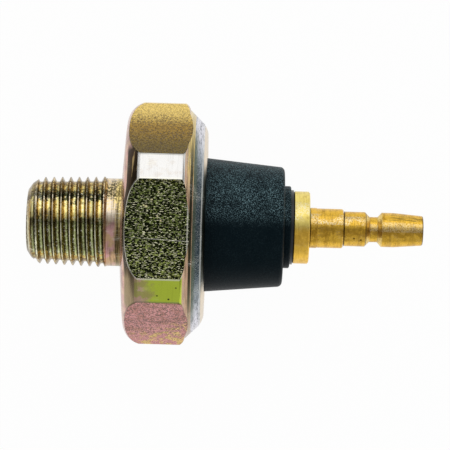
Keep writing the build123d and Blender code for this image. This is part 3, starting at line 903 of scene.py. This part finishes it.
def dark_fibre(finish):
    """Compressed fibre of the terminal's washer."""
    material, tree, shader, place = start_material("dark_fibre")
    grain = use_group(tree, "metal_grain", Place=place["Place"], Size=0.09, Stretch=1.0)
    colour = blend_colours(tree, product(tree, grain["Mask"], 0.35), finish.fibre, FIBRE_GREY)
    finish_surface(tree, shader, colour, 0.3, grain["Height"], 0.006)
    return material


def clouding(tree, place):
    """Soft patches over a sealed piece."""
    return ramp_between(tree, noise(tree, place["Place"], 0.8, detail=3.0), 0.4, 0.65)


def moulded_inner(name, colour, clouded, size, roughness, depth, constants=None):
    """A finish for the sealed rubber, film and nylon pieces: grain over two close colours."""
    material, tree, shader, place = start_material(name)
    grain = use_group(tree, "metal_grain", Place=place["Place"], Size=size, Stretch=1.0)
    clouds = clouding(tree, place)
    share = product(tree, maths(tree, "ADD", grain["Mask"], clouds), 0.35)
    tone = blend_colours(tree, share, colour, clouded)
    rough = maths(tree, "ADD", roughness, product(tree, clouds, 0.08))
    finish_surface(tree, shader, tone, rough, grain["Height"], depth, constants)
    return material


def turned_inner(name, colour, clouded, pitch, roughness, depth):
    """A finish for the sealed turned or pressed metal pieces."""
    material, tree, shader, place = start_material(name)
    lines = use_group(tree, "turned_lines", Place=place["Place"], Pitch=pitch, Swirl=1.5)
    tone = blend_colours(tree, product(tree, clouding(tree, place), 0.4), colour, clouded)
    finish_surface(tree, shader, tone, roughness, lines["Height"], depth, METAL)
    return material


# ---- the spring ----


def shortening_spring(material):
    """The contact spring as a copy of its CAD mesh, attached to the housing in place of the CAD node."""
    spring = bpy.data.objects.new("contact_spring_coil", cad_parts["contact_spring"].data.copy())
    bpy.context.scene.collection.objects.link(spring)
    spring.data.materials.clear()
    spring.data.materials.append(material)
    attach(spring, "housing")
    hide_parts("contact_spring")
    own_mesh(spring)


# ---- operators ----


class SWITCH_OT_body(bpy.types.Operator):
    """Gives the threaded body its plated, passivated finish"""

    bl_idname = "switch.body"
    bl_label = "Plate the Body"

    def execute(self, context):
        dress(["threaded_body"], plated_steel(context.scene.switch_body))
        return {"FINISHED"}


class SWITCH_OT_cap(bpy.types.Operator):
    """Gives the moulded cap and the terminal's washer their finishes"""

    bl_idname = "switch.cap"
    bl_label = "Finish the Cap"

    def execute(self, context):
        finish = context.scene.switch_cap
        dress(["cap"], moulded_plastic(finish))
        dress(["terminal_gasket"], dark_fibre(finish))
        return {"FINISHED"}


class SWITCH_OT_terminal(bpy.types.Operator):
    """Gives the terminal and its collar a turned brass finish"""

    bl_idname = "switch.terminal"
    bl_label = "Finish the Terminal"

    def execute(self, context):
        dress(["terminal_pin", "terminal_collar"], turned_brass(context.scene.switch_terminal))
        return {"FINISHED"}


class SWITCH_OT_pressure_side(bpy.types.Operator):
    """Finishes the seal ring, films, plate, push pin and clamp ring"""

    bl_idname = "switch.pressure_side"
    bl_label = "Finish the Pressure Side"

    def execute(self, context):
        finish = context.scene.switch_inner
        rubber = moulded_inner(
            "moulded_rubber", finish.rubber, (0.03, 0.03, 0.03), size=0.08, roughness=0.55, depth=0.004
        )
        dress(["seal_ring", "cap_gasket"], rubber)
        film = moulded_inner(
            "amber_film",
            finish.film,
            (0.42, 0.15, 0.02),
            size=0.5,
            roughness=0.18,
            depth=0.002,
            constants={"Coat Weight": 0.3},
        )
        dress(["diaphragm_lower", "diaphragm_upper"], film)
        nylon = moulded_inner(
            "natural_nylon", finish.nylon, (0.55, 0.5, 0.4), size=0.12, roughness=0.42, depth=0.004
        )
        dress(["push_pin"], nylon)
        steel = turned_inner(
            "bright_steel", finish.steel, (0.4, 0.4, 0.42), pitch=0.08, roughness=0.3, depth=0.003
        )
        dress(["clamp_ring", "pressure_plate", "adjusting_shim"], steel)
        return {"FINISHED"}


class SWITCH_OT_contacts(bpy.types.Operator):
    """Finishes the contacts, their silver rivets, the spring and the inner washer"""

    bl_idname = "switch.contacts"
    bl_label = "Finish the Contacts"

    def execute(self, context):
        finish = context.scene.switch_inner
        strip = turned_inner(
            "brass_strip", finish.strip, (0.5, 0.33, 0.1), pitch=0.1, roughness=0.28, depth=0.003
        )
        dress(["fixed_contact", "moving_contact", "inner_washer"], strip)
        silver = turned_inner(
            "contact_silver", finish.silver, (0.6, 0.58, 0.54), pitch=0.05, roughness=0.22, depth=0.002
        )
        dress([f"contact_rivet_{number}" for number in (1, 2, 3)], silver)
        wire = turned_inner(
            "drawn_wire", finish.wire, (0.25, 0.25, 0.27), pitch=0.3, roughness=0.3, depth=0.003
        )
        shortening_spring(wire)
        return {"FINISHED"}


def softbox(name, direction, distance, size, power, aim):
    """A rectangular light that faces the switch from a direction."""
    data = bpy.data.lights.new(name, "AREA")
    data.shape, data.size, data.size_y, data.energy = "RECTANGLE", size[0], size[1], power
    lamp = bpy.data.objects.new(name, data)
    lamp.location = aim + Vector(direction).normalized() * distance
    lamp.rotation_mode = "QUATERNION"
    lamp.rotation_quaternion = (lamp.location - aim).to_track_quat("Z", "Y")
    lamp.visible_camera = False
    bpy.context.scene.collection.objects.link(lamp)
    return lamp


def white_to_sight(tree, share, mirrored):
    """share where the camera looks, mirrored where metal or glass does, else 0."""
    path = add(tree, "ShaderNodeLightPath").outputs
    seen = maths(tree, "MULTIPLY", path["Is Camera Ray"], share)
    glance = maths(tree, "MAXIMUM", path["Is Glossy Ray"], path["Is Transmission Ray"])
    return maths(tree, "MAXIMUM", seen, maths(tree, "MULTIPLY", glance, mirrored))


class SWITCH_OT_stage(bpy.types.Operator):
    """Sets the switch on a pale floor under soft lights, with the camera overhead"""

    bl_idname = "switch.stage"
    bl_label = "Set the Stage"

    def floor(self):
        half, low = 2.0, BODY[0].z  # it lies under the lowest flat
        mesh = bpy.data.meshes.new("floor")
        corners = [(-half, -half, low), (half, -half, low), (half, half, low), (-half, half, low)]
        mesh.from_pydata(corners, [], [(0, 1, 2, 3)])
        floor = bpy.data.objects.new("floor", mesh)
        bpy.context.scene.collection.objects.link(floor)
        material = bpy.data.materials.new("pale_floor")
        material.use_nodes = True
        tree = material.node_tree
        shader = tree.nodes["Principled BSDF"]
        shader.inputs["Base Color"].default_value = (0.9, 0.9, 0.9, 1)
        shader.inputs["Roughness"].default_value = 0.9
        glow = add(tree, "ShaderNodeEmission", {"Color": (1.0, 1.0, 1.0), "Strength": 1.0}).outputs[0]
        share = white_to_sight(tree, share=0.965, mirrored=0.85)
        mixed = add(tree, "ShaderNodeMixShader", {0: share, 1: shader.outputs[0], 2: glow}).outputs[0]
        tree.links.new(mixed, tree.nodes["Material Output"].inputs["Surface"])
        mesh.materials.append(material)

    def surroundings(self, stage):
        """A dim room with paler walls across the switch, and a white horizon."""
        world = bpy.data.worlds.new("surroundings")
        world.use_nodes = True
        bpy.context.scene.world = world
        tree = world.node_tree
        sky = tree.nodes["Background"]
        way = add(tree, "ShaderNodeTexCoord").outputs["Generated"]
        x, y, z = add(tree, "ShaderNodeSeparateXYZ", {0: way}).outputs
        walls = ramp_between(tree, maths(tree, "ABSOLUTE", y), 0.0, 0.36, stage.overhead, stage.walls)
        ends = ramp_between(tree, maths(tree, "ABSOLUTE", x), 0.3, 0.8, 1.0, 0.4)
        horizon = ramp_between(tree, z, 0.2, 0.05, 0.0, 0.5)
        room = maths(tree, "MULTIPLY", walls, ends)
        level = maths(tree, "MAXIMUM", room, white_to_sight(tree, share=1.0, mirrored=horizon))
        sky.inputs["Color"].default_value = (1, 1, 1, 1)
        tree.links.new(level, sky.inputs["Strength"])

    def camera(self, stage):
        data = bpy.data.cameras.new("camera")
        data.lens, data.sensor_width, data.clip_start, data.clip_end = stage.lens, 36, 0.01, 10
        camera = bpy.data.objects.new("camera", data)
        bpy.context.scene.collection.objects.link(camera)
        tilt, roll = stage.tilt, stage.roll
        back = Vector((0, sin(tilt), cos(tilt)))
        level_right, level_up = Vector((1, 0, 0)), Vector((0, cos(tilt), -sin(tilt)))
        right = cos(roll) * level_right + sin(roll) * level_up
        up = cos(roll) * level_up - sin(roll) * level_right
        turn = Matrix((right, up, back)).transposed().to_4x4()
        camera.matrix_world = Matrix.Translation(Vector(stage.aim) + back * stage.distance) @ turn
        bpy.context.scene.camera = camera

    def execute(self, context):
        stage = context.scene.switch_stage
        self.floor()
        self.surroundings(stage)
        self.camera(stage)
        aim = Vector(stage.aim)
        softbox(
            "key", (0, 0.8, 0.6), distance=0.35, size=(0.5, 0.34), power=stage.key_power, aim=aim
        )
        top = softbox(
            "top", (0, 0, 1), distance=0.5, size=(0.8, 0.8), power=stage.top_power, aim=aim
        )
        top.visible_glossy = False
        context.scene.view_settings.view_transform = "Standard"
        return {"FINISHED"}


class SWITCH_PT_panel(bpy.types.Panel):
    """Lists the switch's steps"""

    bl_idname = "SWITCH_PT_panel"
    bl_label = "Oil Pressure Switch"
    bl_space_type = "VIEW_3D"
    bl_region_type = "UI"
    bl_category = "Switch"

    def draw(self, context):
        for step in STEPS:
            self.layout.operator(step.bl_idname)
        for name, kind in SETTINGS.items():
            box = self.layout.box()
            for key in kind.__annotations__:
                box.prop(getattr(context.scene, name), key)


STEPS = (
    SWITCH_OT_body,
    SWITCH_OT_cap,
    SWITCH_OT_terminal,
    SWITCH_OT_pressure_side,
    SWITCH_OT_contacts,
    SWITCH_OT_stage,
)
SETTINGS = {
    "switch_body": BodyFinish,
    "switch_cap": CapFinish,
    "switch_terminal": TerminalFinish,
    "switch_inner": InnerFinish,
    "switch_stage": StageSettings,
}


def register():
    for kind in (*SETTINGS.values(), *STEPS, SWITCH_PT_panel):
        bpy.utils.register_class(kind)
    for name, kind in SETTINGS.items():
        setattr(bpy.types.Scene, name, PointerProperty(type=kind))


def unregister():
    for name in SETTINGS:
        delattr(bpy.types.Scene, name)
    for kind in reversed((*SETTINGS.values(), *STEPS, SWITCH_PT_panel)):
        bpy.utils.unregister_class(kind)


def main():
    """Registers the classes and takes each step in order."""
    register()
    bpy.ops.switch.body()
    bpy.ops.switch.cap()
    bpy.ops.switch.terminal()
    bpy.ops.switch.pressure_side()
    bpy.ops.switch.contacts()
    bpy.ops.switch.stage()


if __name__ == "__main__":
    main()
